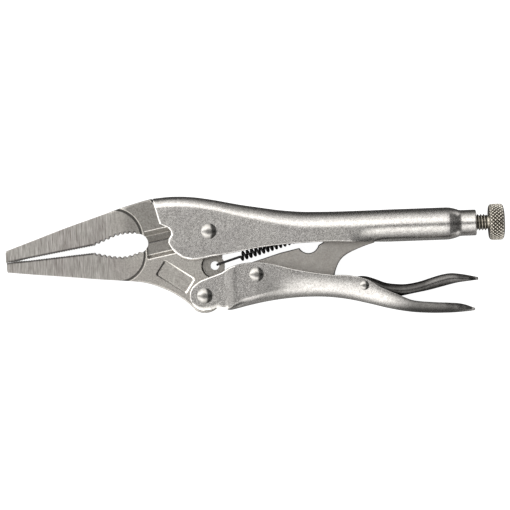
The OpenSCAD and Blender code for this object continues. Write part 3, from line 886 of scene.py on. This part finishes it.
def upper_front(y):
    """X of the raked front edge, the round notch and the front of the lobe."""
    rake = -23.3 - (y - 3) * math.tan(FRONT_RAKE)
    base = np.where(y > -3.4, rake, smooth(LOBE, y))
    notch = NOTCH[0] + np.sqrt(np.maximum(NOTCH_R**2 - (y - NOTCH[1]) ** 2, 0))
    return np.where(np.abs(y - NOTCH[1]) < NOTCH_R, np.maximum(base, notch), base)


def tube_radius(x):
    r = linear(TUBE_R, x)
    return r - rounding(NECK_END - x, NECK_RIM) if x > NECK_END - NECK_RIM else r


def upper_handle():
    def to_tube(line, x, side):
        if x > TUBE_X[1]:
            return AXIS_Y + side * tube_radius(x)
        tube = ease(x, *TUBE_X)
        return smooth(line, x) * (1 - tube) + (AXIS_Y + side * TUBE_R[0][1]) * tube

    def top(x):
        return to_tube(UPPER_TOP, x, 1)

    def edge(x):
        return to_tube(UPPER_EDGE, x, -1)

    def half(x):
        return linear(UPPER_HALF, x) if x < TUBE_X[1] else tube_radius(x)

    def radius(x):
        return linear(UPPER_RADIUS, x) if x < TUBE_X[1] else tube_radius(x)

    def thick(x):
        bore = BORE[0] + (BORE[1] - BORE[0]) * ease(x, *BORE_X)
        return SHEET if x < 110 else tube_radius(x) - bore

    def curl(x):
        return math.radians(89.6) * float(ease(x, CURL_FROM, CURL_TO))

    near_front = [0, 0.1, 0.28, 0.55, 0.9]
    spread = list(np.linspace(0.08, 1, 22))
    front_rows = len(near_front) + len(spread)
    stations = (list(np.linspace(FRONT_END + 1.5, 66, 44)) + list(np.linspace(67, 90, 30))
                + list(np.linspace(91.5, 112.5, 15)) + list(np.linspace(113.2, 122, 24))
                + list(np.linspace(123, 127.4, 6))
                + [127.6, 127.8, 127.95, 128.08, 128.16, NECK_END])
    shape, normal, sheet = handle_grid([FRONT_END] * front_rows + stations, top, edge, half, radius,
                                       thick, curl)
    rows = shape.shape[1]
    corner_y = CORNER[1]
    roof = top(-25.5) - radius(-25.5)
    roof_end = top(FRONT_END) - radius(FRONT_END)

    def behind(x_start, i):
        """X of station i of a line that starts at the front edge."""
        if i < len(near_front):
            return x_start + near_front[i]
        return x_start + (FRONT_END - x_start) * spread[i - len(near_front)]

    for j in range(rows):
        k = min(j, rows - 1 - j)
        side = 1 if j < rows / 2 else -1
        if k < WALLS:
            v = 1 - WALL_SAMPLES[k]
            y_start = roof + (corner_y - roof) * v
            y_end = shape[0, j, 1]
            x_start = float(upper_front(y_start))
            for i in range(front_rows):
                x = behind(x_start, i)
                u = (x - x_start) / (FRONT_END - x_start)
                sag = smooth(UPPER_EDGE, CORNER[0] + (FRONT_END - CORNER[0]) * u)
                straight = corner_y + (smooth(UPPER_EDGE, FRONT_END) - corner_y) * u
                rise = top(x) - radius(x) - (roof + (roof_end - roof) * u)
                y = (y_start * (1 - u) + y_end * u + v**2 * (sag - straight) + (1 - v) ** 2 * rise)
                shape[i, j] = (x, y, side * half(x))
            continue
        reach = CORNER_STEPS - (k - WALLS)
        x_start = float(upper_front(top(-26) - 0.4 * reach if reach > 0 else 17.0))
        section = sheet_section(top(x_start), edge(x_start), half(x_start), radius(x_start))
        x_start = float(upper_front(section[k, 0]))
        for i in range(front_rows):
            x = behind(x_start, i)
            section = sheet_section(top(x), edge(x), half(x), radius(x))
            shape[i, j] = (x, section[k, 0], side * section[k, 1])
            normal[i, j] = (0, section[k, 2], side * section[k, 3])
    border = np.array([[float(upper_front(y)), y] for y in np.linspace(17.4, corner_y, 260)])
    bottom = run(UPPER_EDGE, CORNER[0], 8, 60)
    flat = shape[..., :2].reshape(-1, 2)
    gap = distance(flat, np.vstack([border, bottom])).reshape(shape.shape[:2])
    free = along_edges(shape)
    free[:front_rows] = FAR
    gap[shape[..., 0] > FRONT_END] = FAR
    drop = np.where(gap < free, rounding(gap, FRONT_RIM), rounding(free, RIM))
    # A painted highlight along the front edge
    tone = -0.35 * (gap < 0.6)
    return shell("upper_handle_sheet", "upper_handle", shape, normal, sheet, drop,
                 tone)


LOWER_BACK = [[7, -37.8], [9.5, -38], [18.4, -36.1], [28, -34.4], [37.7, -33.4], [47.3, -33.1],
              [56.9, -33.6], [66.4, -35.1], [76, -37.5], [85.5, -40.1], [95, -42], [104.6, -42.9],
              [114.2, -43.1], [121.4, -42.8], [126.2, -42.4]]
LOWER_EDGE = [[7, -18.9], [9.4, -17.6], [14.3, -16.2], [19.1, -15.7], [23.4, -15.7],
              [28.7, -16.6], [41.8, -20.1], [58.3, -23], [66.8, -23.6], [75.1, -25.8], [81, -29.6],
              [88.8, -33.2], [96.6, -36.6], [107.1, -38], [114.3, -38.5], [120.4, -39.2],
              [126.2, -41.3]]
LOWER_HALF = [[12, 7.5], [60, 7.5], [95, 7.5], [112, 7.4], [118, 6.8], [122, 5.9], [124.6, 4.6],
              [126.2, 2.4]]
LOWER_RADIUS = [[8, 1.2], [11, 3.2], [15, 4.4], [40, 5], [90, 4.8], [110, 4.4], [116, 3.8],
                [122, 2.6], [126.2, 0.9]]
LOWER_SHEET = 1.9
LOWER_RIM = 0.22
# The most of the sheet's thickness that an edge's rounding takes up
EDGE_SHARE = 0.42
CROWN = math.radians(13)
NOSE_R = 7.2
EAR_TOP = [[-10.19, -30.45], [-9.9, -28.6], [-9.3, -27.2], [-8.9, -26.6], [-7.9, -25.7],
           [-6.5, -24.6], [-3.7, -23.1], [1.6, -21.3], [5.5, -19.9], [7, -18.95]]
EAR_BOTTOM = [[-3, -38], [0, -37.45], [3.2, -36.5], [5, -36.25], [6.6, -36.6], [7.6, -36.9]]
BACK_FROM = 7.6
EAR_OUT = 6.85


def lower_handle():
    def round_nose(x):
        return math.sqrt(max(NOSE_R**2 - (x - JAW_PIVOT[0]) ** 2, 0.02))

    def ear_low(x):
        return JAW_PIVOT[1] - round_nose(x) if x < -3 else float(smooth(EAR_BOTTOM, x))

    def ear_high(x):
        return JAW_PIVOT[1] + round_nose(x) if x < -8.6 else float(smooth(EAR_TOP, x))

    def half(x):
        ears = EAR_OUT + (LOWER_HALF[0][1] - EAR_OUT) * float(ease(x, 6.5, 11.5))
        return float(linear(LOWER_HALF, x)) if x > 14 else ears

    def thick(x):
        deep = abs(smooth(LOWER_BACK, x) - smooth(LOWER_EDGE, x))
        return min(LOWER_SHEET, 0.6 * deep)

    ear_x = list(-3 - 7.19 * np.cos(np.radians(np.linspace(0, 80, 18)))) + list(
        np.linspace(-0.8, BACK_FROM, 14))
    xs = (ear_x + list(np.linspace(BACK_FROM + 0.12, BACK_FROM + 0.5, 3))
          + list(np.linspace(8.6, 14, 12)) + list(np.linspace(15, 120, 96))
          + list(np.linspace(120.8, 125.6, 10)) + [125.9, 126.1, 126.2])
    shape, normal, sheet = handle_grid(
        [max(x, BACK_FROM) for x in xs], lambda x: smooth(LOWER_BACK, x),
        lambda x: smooth(LOWER_EDGE, x), half, lambda x: linear(LOWER_RADIUS, x), thick)
    rows = shape.shape[1]
    mask = np.ones((len(xs) - 1, rows - 1), bool)
    for i, x in enumerate(xs):
        if x <= BACK_FROM:
            low = ear_low(x)
            high = ear_high(x)
            fade = ease(x, 2, BACK_FROM)
            low_end = smooth(LOWER_BACK, BACK_FROM) + linear(LOWER_RADIUS, BACK_FROM)
            low = low * (1 - fade) + low_end * fade if x > 2 else low
            for j in range(rows):
                k = min(j, rows - 1 - j)
                side = 1 if j < rows / 2 else -1
                if k < WALLS:
                    v = WALL_SAMPLES[k]
                    shape[i, j] = (x, high + (low - high) * v, side * half(x))
                    normal[i, j] = (0, 0, side)
        if x < BACK_FROM:
            mask[i, WALLS - 1: rows - WALLS] = False
    # Behind the ears the sides are crowned, and meet the rounded back at a slant
    for i, x in enumerate(xs):
        slant = CROWN * float(ease(x, 20, 46) * (1 - 0.5 * ease(x, 98, 116)))
        if slant == 0:
            continue
        back, edge, r = smooth(LOWER_BACK, x), smooth(LOWER_EDGE, x), linear(LOWER_RADIUS, x)
        r = corner_radius(r, half(x), edge - back)
        h = edge - back - r
        fall = 0.5 * math.tan(slant) * h
        for j in range(rows):
            y, z = shape[i, j, 1:]
            if y > back + r:
                shape[i, j, 2] = math.copysign(half(x) - fall * ((edge - y) / h) ** 2, z)
            elif abs(z) > 1e-6:
                share = math.asin(min(1 - (y - back) / r, 1)) * 2 / math.pi
                a = slant + (math.pi / 2 - slant) * share
                shape[i, j, 1] = back + r * (1 - math.sin(a)) / (1 - math.sin(slant))
                shrink = (r - fall) / math.cos(slant)
                shape[i, j, 2] = math.copysign(
                    half(x) - fall - shrink * (math.cos(slant) - math.cos(a)), z)
    border = np.vstack([[[x, ear_low(x)] for x in np.linspace(BACK_FROM, -3, 40)],
                        arc(JAW_PIVOT, NOSE_R, 270, 141, 60),
                        [[x, ear_high(x)] for x in np.linspace(-8.5, 7, 60)],
                        run(LOWER_EDGE, 7, 16, 20)])
    flat = shape[..., :2].reshape(-1, 2)
    gap = distance(flat, border).reshape(shape.shape[:2])
    x = shape[..., 0]
    gap[x > 12] = FAR
    free = along_edges(shape)
    free[: len(ear_x)] = FAR
    rim = np.minimum(np.where(x > 12, LOWER_RIM, RIM), sheet * EDGE_SHARE)
    tip = (xs[-1] - np.array(xs))[:, None] * np.ones(rows)
    d = np.minimum(np.minimum(gap, free), tip)
    drop = rounding(d / rim, 1.0) * rim
    # Painted shade at the step behind the ears and towards the tail, less at the tail's tip, and a
    # painted highlight along the ears' edges
    step = ease(x, 6.8, 8.5) * (1 - ease(x, 10.5, 14))
    tone = 0.4 * step + 0.85 * ease(x, 80, 98) - 0.4 * ease(x, 114, 124) - 0.25 * (gap < 0.5)
    return shell("lower_handle_sheet", "lower_handle", shape, normal, sheet, drop,
                 tone, mask)


LEVER_BACK = [[54, -27.9], [57, -27.6], [61, -27.3], [65, -26.2], [70.4, -24.3], [74, -24.2],
              [78.5, -25.6], [84.2, -27.8], [91, -28.7], [95, -28.6], [100.3, -27.7],
              [106.6, -25.9], [111, -24.8], [115.5, -24.3], [121, -25], [128.2, -26.6]]
LEVER_EDGE = [[54, -29.6], [57, -29.9], [61, -30.4], [65, -31], [70.4, -32], [76, -33.2],
              [84.2, -34.4], [91, -34.4], [95, -33.7], [104.2, -32.1], [110.8, -30.6],
              [117.5, -29.1], [121.9, -28.6], [128.2, -28]]
LEVER_HALF = [[54, 4.2], [56, 4.5], [66, 4.7], [80, 5], [90, 5], [104, 5.6], [118, 5.5],
              [124, 5.0], [126.6, 4.1], [127.8, 3.0], [128.2, 2.2]]
LEVER_RADIUS = [[54, 1.4], [62, 2], [90, 3], [110, 2.6], [122, 2], [128.2, 1.2]]
LEVER_SHEET = 1.2
LEVER_CURL = math.radians(52)


def release_lever():
    xs = ([54, 54.1, 54.25, 54.5] + list(np.linspace(55.2, 124, 70))
          + list(np.linspace(124.6, 127.6, 8)) + [127.85, 128.02, 128.12, 128.2])

    def thick(x):
        return min(LEVER_SHEET, 0.6 * abs(smooth(LEVER_BACK, x) - smooth(LEVER_EDGE, x)))

    shape, normal, sheet = handle_grid(
        xs, lambda x: smooth(LEVER_BACK, x), lambda x: smooth(LEVER_EDGE, x),
        lambda x: linear(LEVER_HALF, x), lambda x: linear(LEVER_RADIUS, x), thick,
        lambda x: LEVER_CURL * float(ease(x, 80, 92)))
    free = along_edges(shape)
    at = shape[..., 0]
    ends = np.minimum(at - xs[0], xs[-1] - at)
    rim = sheet * EDGE_SHARE
    drop = rounding(np.minimum(free, ends) / rim, 1.0) * rim
    # Painted shade on the lever's sides, strongest towards their free edges and for x below 90,
    # fading out by 108
    low = ease(free.max(1)[:, None] - free, 2, 5)
    tone = 0.4 + 0.6 * (1 - ease(at, 90, 108)) + 0.4 * low
    return shell("release_lever_sheet", "release_lever", shape, normal, sheet,
                 drop, np.minimum(tone, 0.95))


# ---------------------------------------------------------------- toggle link

LINK_HALF = 3.2
LINK_NOTCH = (47.4, -7.2)


def toggle_link():
    crest = np.vstack([[[24.9, -14.2], [33.6, -11.6], [42.4, -9.7]],
                       arc(LINK_NOTCH, 5, 210, 345, 30), [[54.2, -7.4]]])
    outline = np.vstack([
        arc(LINK_PIVOT, 6.3, 280, 115, 40), crest,
        run([[54.2, -7.4], [58, -3.2], [64, 0.6], [70, 2.2]], 55, 70, 8),
        arc((85, AXIS_Y), 3, 90, -90, 24),
        [[79.5, -6.6]],
        run([[59.2, -24], [60, -20.8], [61.5, -17.4], [63.6, -14.8], [67, -12.6], [73.9, -9.8],
             [78.9, -8.3]], 59.2, 78.9, 30)[::-1], [[58.2, -25.1], [40, -26]]])
    closed = np.vstack([outline, outline[:1]])
    # Painted shade in a thin line along the crest
    return relief("toggle_link_plate", "toggle_link", ["toggle_link"], LINK, outline,
                  [hole(LINK_PIVOT, 2.45)], [], lambda p: np.full(len(p), LINK_HALF),
                  soft=[(closed, 0.6)], painted_light=lambda p: 1.0 * (distance(p, crest) < 0.35))


# ---------------------------------------------------------------- rivets, screw and knob


# A rivet's crown is flatter in the middle than a ball: a ball has 2
CROWN_POWER = 2.9


def lathe(profile, sides=64):
    """Rings of a turned solid about Z from [height, radius] pairs."""
    a = np.linspace(0, 2 * math.pi, sides, endpoint=False)
    return [np.column_stack([r * np.cos(a), r * np.sin(a), np.full(sides, h)]) for h, r in profile]


def rivet(name, node, body, at, shank, head, half, dome):
    profile = [(0, shank), (half - 0.02, shank), (half - 0.02, head * 0.97)]
    profile += [(half + 0.04 + (dome - 0.04) * (1 - u**CROWN_POWER), head * u)
                for u in np.sin(np.linspace(math.pi / 2, 0.04, 16))]
    both = [(-h, r) for h, r in profile[::-1]] + profile
    rings = lathe(both)
    points = np.vstack(rings) + [at[0], at[1], 0]
    return piece(name, body, [node], points, tube_grid(rings), POLISHED, 50)


THREAD_R = 3.95
THREAD_PITCH = 1.411
THREAD_DEPTH = 0.78
SCREW_TIP = 90.7


def adjusting_screw():
    sides, per_turn = 56, 12
    count = int((KNOB_X - 0.6 - SCREW_TIP) / THREAD_PITCH * per_turn)
    xs = np.linspace(SCREW_TIP, KNOB_X - 0.6, count + 1)
    angle = np.linspace(0, 2 * math.pi, sides, endpoint=False)
    rings, painted_levels = [], []
    for x in xs:
        phase = (x / THREAD_PITCH - angle / (2 * math.pi)) % 1
        tooth = np.clip((np.abs(phase - 0.5) * 2 - 0.1) / 0.75, 0, 1)
        fade = float(ease(x, KNOB_X - 1.1, KNOB_X - 0.7))
        r = THREAD_R - THREAD_DEPTH * np.maximum(tooth, fade)
        r = np.minimum(r, 2.6 + (x - SCREW_TIP) * 1.2)
        # Painted shade in the thread's roots and painted highlights on its crests
        painted_levels.append(tooth * 1.4 - 0.5)
        rings.append(round_section(x, r, angle))
    end = rings[-1].copy()
    end[:, 0] = KNOB_X + 0.3
    rings.append(end)
    painted_levels.append(painted_levels[-1])
    return piece("adjusting_screw_thread", "adjusting_screw", ["adjusting_screw"],
                 np.vstack(rings), tube_grid(rings), SCREW, 60, np.concatenate(painted_levels))


KNOB_R = 8.7
KNURLS = 30
KNURL_DEPTH = 0.5
# Radius of the knob's rounded rims, and the step behind the rear one
KNOB_RIM = 1.7
KNOB_STEP = 0.2


def screw_knob():
    sides = KNURLS * 12
    angle = np.linspace(0, 2 * math.pi, sides, endpoint=False)
    length = X_MAX - KNOB_X
    step = 2 * math.pi * KNOB_R / KNURLS
    # [distance from the knob's face, radius, how deep the knurl is cut there]
    profile = [(0.35, 3.2, 0), (0.35, 4.6, 0), (0.1, 5.0, 0), (0, 5.4, 0), (0, 6.7, 0)]
    rear = length - KNOB_RIM - KNOB_STEP

    def rim(h, a0, a1):
        return [(h + KNOB_RIM * math.cos(t), KNOB_R - KNOB_RIM + KNOB_RIM * math.sin(t), math.sin(t))
                for t in np.radians(np.linspace(a0, a1, 9))]

    profile += rim(KNOB_RIM, 170, 90)
    profile += [(h, KNOB_R, 1) for h in np.linspace(KNOB_RIM, rear, 28)[1:]]
    profile += rim(rear, 90, 10)[1:]
    profile += [(length - 0.16, 6.7, 0), (length, 6.2, 0), (length, 3.4, 0), (length - 0.3, 3.0, 0),
                (length - 0.3, 0.1, 0)]
    rings, painted_levels = [], []
    for h, r, cut in profile:
        s = h / step
        t = angle / (2 * math.pi) * KNURLS
        ridges = [np.abs(((t + d * s) % 1) - 0.5) * 2 for d in (1, -1)]
        groove = np.clip((np.maximum(*ridges) - 0.45) / 0.4, 0, 1) * cut
        # Painted shade in the knurl's grooves and painted highlights on the knurled crests
        painted_levels.append(1.7 * groove - 0.7 * cut)
        rings.append(round_section(KNOB_X + h, r - KNURL_DEPTH * groove, angle))
    return piece("screw_knob_knurled", "screw_knob", ["screw_knob"],
                 np.vstack(rings), tube_grid(rings), SCREW, 24, np.concatenate(painted_levels))


# ---------------------------------------------------------------- spring

COIL_START = np.array([14.7, -12.7])
COIL_TURN = math.radians(16.4)
COIL_LEN = 30.0
SPRING_R = 2.35
SPRING_WIRE = 1.15
TURNS = 14
HOOK = SPRING_HOLE + [1.4, 0.5]
TAIL = 7.5


def wire_rings(path, radius, sides=12):
    """Rings round a path, carried along it without twist."""
    path = np.asarray(path, float)
    tangent = np.gradient(path, axis=0)
    tangent /= np.linalg.norm(tangent, axis=1)[:, None]
    side = np.cross(tangent[0], [0.3, 0.2, 1.0])
    rings = []
    for p, t in zip(path, tangent):
        side = side - t * (side @ t)
        side /= np.linalg.norm(side)
        other = np.cross(t, side)
        a = np.linspace(0, 2 * math.pi, sides, endpoint=False)[:, None]
        rings.append(p + radius * (np.cos(a) * side + np.sin(a) * other))
    return rings


def tension_spring():
    along = np.array([math.cos(COIL_TURN), math.sin(COIL_TURN), 0])
    across = np.array([-along[1], along[0], 0])
    up = np.array([0, 0, 1])
    start = np.array([*COIL_START, 0])
    mean = SPRING_R - SPRING_WIRE / 2
    coil = []
    for t in np.linspace(0, 1, TURNS * 20 + 1):
        a = 2 * math.pi * TURNS * t + math.pi / 2
        coil.append(start + along * COIL_LEN * t + mean * (across * math.cos(a) + up * math.sin(a)))
    hook = np.array([*HOOK, 0])
    leg = []
    for a in np.radians(np.linspace(-90, 60, 12)):
        leg.append(hook + [-0.2 * math.cos(a), -0.1 * math.cos(a), mean * math.sin(a)])
    to = coil[0] - along * 0.5
    begin = leg[-1] + [0.4, 0.18, 0.12]
    for t in np.linspace(0, 1, 16):
        leg.append(begin + (to - begin) * t)
    tail = []
    for t in np.linspace(0.08, 1, 14):
        s = float(ease(t, 0, 0.5))
        axis = start + along * (COIL_LEN + TAIL * t)
        tail.append((coil[-1] + along * TAIL * t) * (1 - s) + axis * s)
    rings = wire_rings(np.vstack([leg, coil, tail]), SPRING_WIRE / 2)
    obj = piece("tension_spring_coil", None, ["tension_spring"], np.vstack(rings),
                tube_grid(rings), WIRE, 60)
    obj.modifiers.clear()
    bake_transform(obj)


fixed_jaw()
moving_jaw()
upper_handle()
lower_handle()
release_lever()
toggle_link()
rivet("main_rivet_domed", "main_rivet", "upper_handle", (0, 0), 2.6, 3.7, 6.9, 1.1)
rivet("jaw_rivet_domed", "jaw_rivet", "lower_handle", JAW_PIVOT, 2.6, 3.7, 6.85, 1.1)
rivet("link_rivet_domed", "link_rivet", "lower_handle", LINK_PIVOT, 2.4, 3.5, 7.5, 1.1)
rivet("release_rivet_domed", "release_rivet", "lower_handle", LEVER_PIVOT, 1.5, 2.25, 7.5, 0.7)
adjusting_screw()
screw_knob()
tension_spring()

# ---------------------------------------------------------------- floor, light and camera

scene = bpy.context.scene
centre = (cad_box[0] + cad_box[1]) / 2

FLOOR = 3.0
floor_mesh = bpy.data.meshes.new("floor")
floor_mesh.from_pydata([(-FLOOR, -FLOOR, 0), (FLOOR, -FLOOR, 0), (FLOOR, FLOOR, 0),
                        (-FLOOR, FLOOR, 0)], [], [(0, 1, 2, 3)])
floor = bpy.data.objects.new("floor", floor_mesh)
scene.collection.objects.link(floor)
floor_mesh.materials.append(floor_paper())
floor.visible_glossy = False

world = bpy.data.worlds.new("studio")
scene.world = world
world.use_nodes = True
sky = Tree(world.node_tree)
background = sky.tree.nodes["Background"]
split = sky.new("ShaderNodeSeparateXYZ")
sky.link(sky.new("ShaderNodeTexCoord").outputs["Generated"], split.inputs["Vector"])


def ease_between(value, low, high):
    node = sky.new("ShaderNodeMapRange", interpolation_type="SMOOTHSTEP")
    sky.link(value, node.inputs["Value"])
    node.inputs["From Min"].default_value = low
    node.inputs["From Max"].default_value = high
    return node.outputs[0]


# [degrees from straight up towards the upper handle, brightness]
SKY = [(-180, 0.1), (-125, 0.3), (-92, 0.32), (-72, 0.6), (-52, 1.3), (-30, 2.1), (-16, 1.3),
       (-9, 0.26), (4, 0.26), (10, 1.25), (18, 2.4), (34, 2.3), (48, 1.8), (60, 1.3), (74, 0.9),
       (88, 0.4), (100, 0.2), (114, 0.07), (180, 0.05)]
turned = sky.math("ARCTAN2", split.outputs["Y"], split.outputs["Z"])
share = sky.math("MULTIPLY_ADD", turned, 1 / (2 * math.pi), 0.5)
glow = sky.ramp(share, [(degrees / 360 + 0.5, value) for degrees, value in SKY])
# High up, the tips' side is brighter and the knob's side darker; both ends have a lit horizon
tips = sky.math("MULTIPLY", split.outputs["X"], -1.0)
high = ease_between(split.outputs["Z"], -0.05, 0.25)
left = sky.math("MULTIPLY", ease_between(tips, 0.1, 0.36), high)
right = sky.math("MULTIPLY", ease_between(split.outputs["X"], 0.05, 0.32), high)
ends = sky.math("MULTIPLY", ease_between(sky.math("ABSOLUTE", split.outputs["X"]), 0.25, 0.6),
                sky.math("SUBTRACT", ease_between(split.outputs["Z"], -0.6, -0.25), high))
base = sky.math("MULTIPLY", glow, sky.math("MULTIPLY_ADD", right, -0.94, 1.0))
lit = sky.math("MULTIPLY_ADD", ends, 0.9, base)
strength = sky.math("MULTIPLY_ADD", left, 0.5, lit)
background.inputs["Color"].default_value = (1.0, 0.985, 0.965, 1)
sky.link(strength, background.inputs["Strength"])


def soft_light(name, at, size, power):
    light = bpy.data.lights.new(name, "AREA")
    light.shape = "RECTANGLE"
    light.size, light.size_y = size
    light.energy = power
    obj = bpy.data.objects.new(name, light)
    scene.collection.objects.link(obj)
    obj.location = centre + Vector(at)
    obj.rotation_mode = "QUATERNION"
    obj.rotation_quaternion = (centre - obj.location).to_track_quat("-Z", "Y")
    obj.visible_glossy = False


soft_light("key", (-0.25, 0.7, 0.75), (0.7, 0.4), 6)
soft_light("fill", (0.5, -0.5, 0.9), (0.6, 0.6), 3)

# The view is straight down on the tool, turned a little about the line of sight
TURN = math.radians(-2.06)
VIEW_WIDTH = 0.2448
VIEW_SHIFT = (-0.0003, 0.0008)
LENS = 220
SENSOR = 36
camera = bpy.data.cameras.new("camera")
camera.lens = LENS
camera.sensor_width = SENSOR
camera_object = bpy.data.objects.new("camera", camera)
scene.collection.objects.link(camera_object)
camera_object.location = (centre.x + VIEW_SHIFT[0], centre.y + VIEW_SHIFT[1],
                          ORIGIN[2] + VIEW_WIDTH * LENS / SENSOR)
camera_object.rotation_euler = (0, 0, TURN)
camera.clip_start = 0.1
camera.clip_end = 20
scene.camera = camera_object
scene.view_settings.view_transform = "Standard"
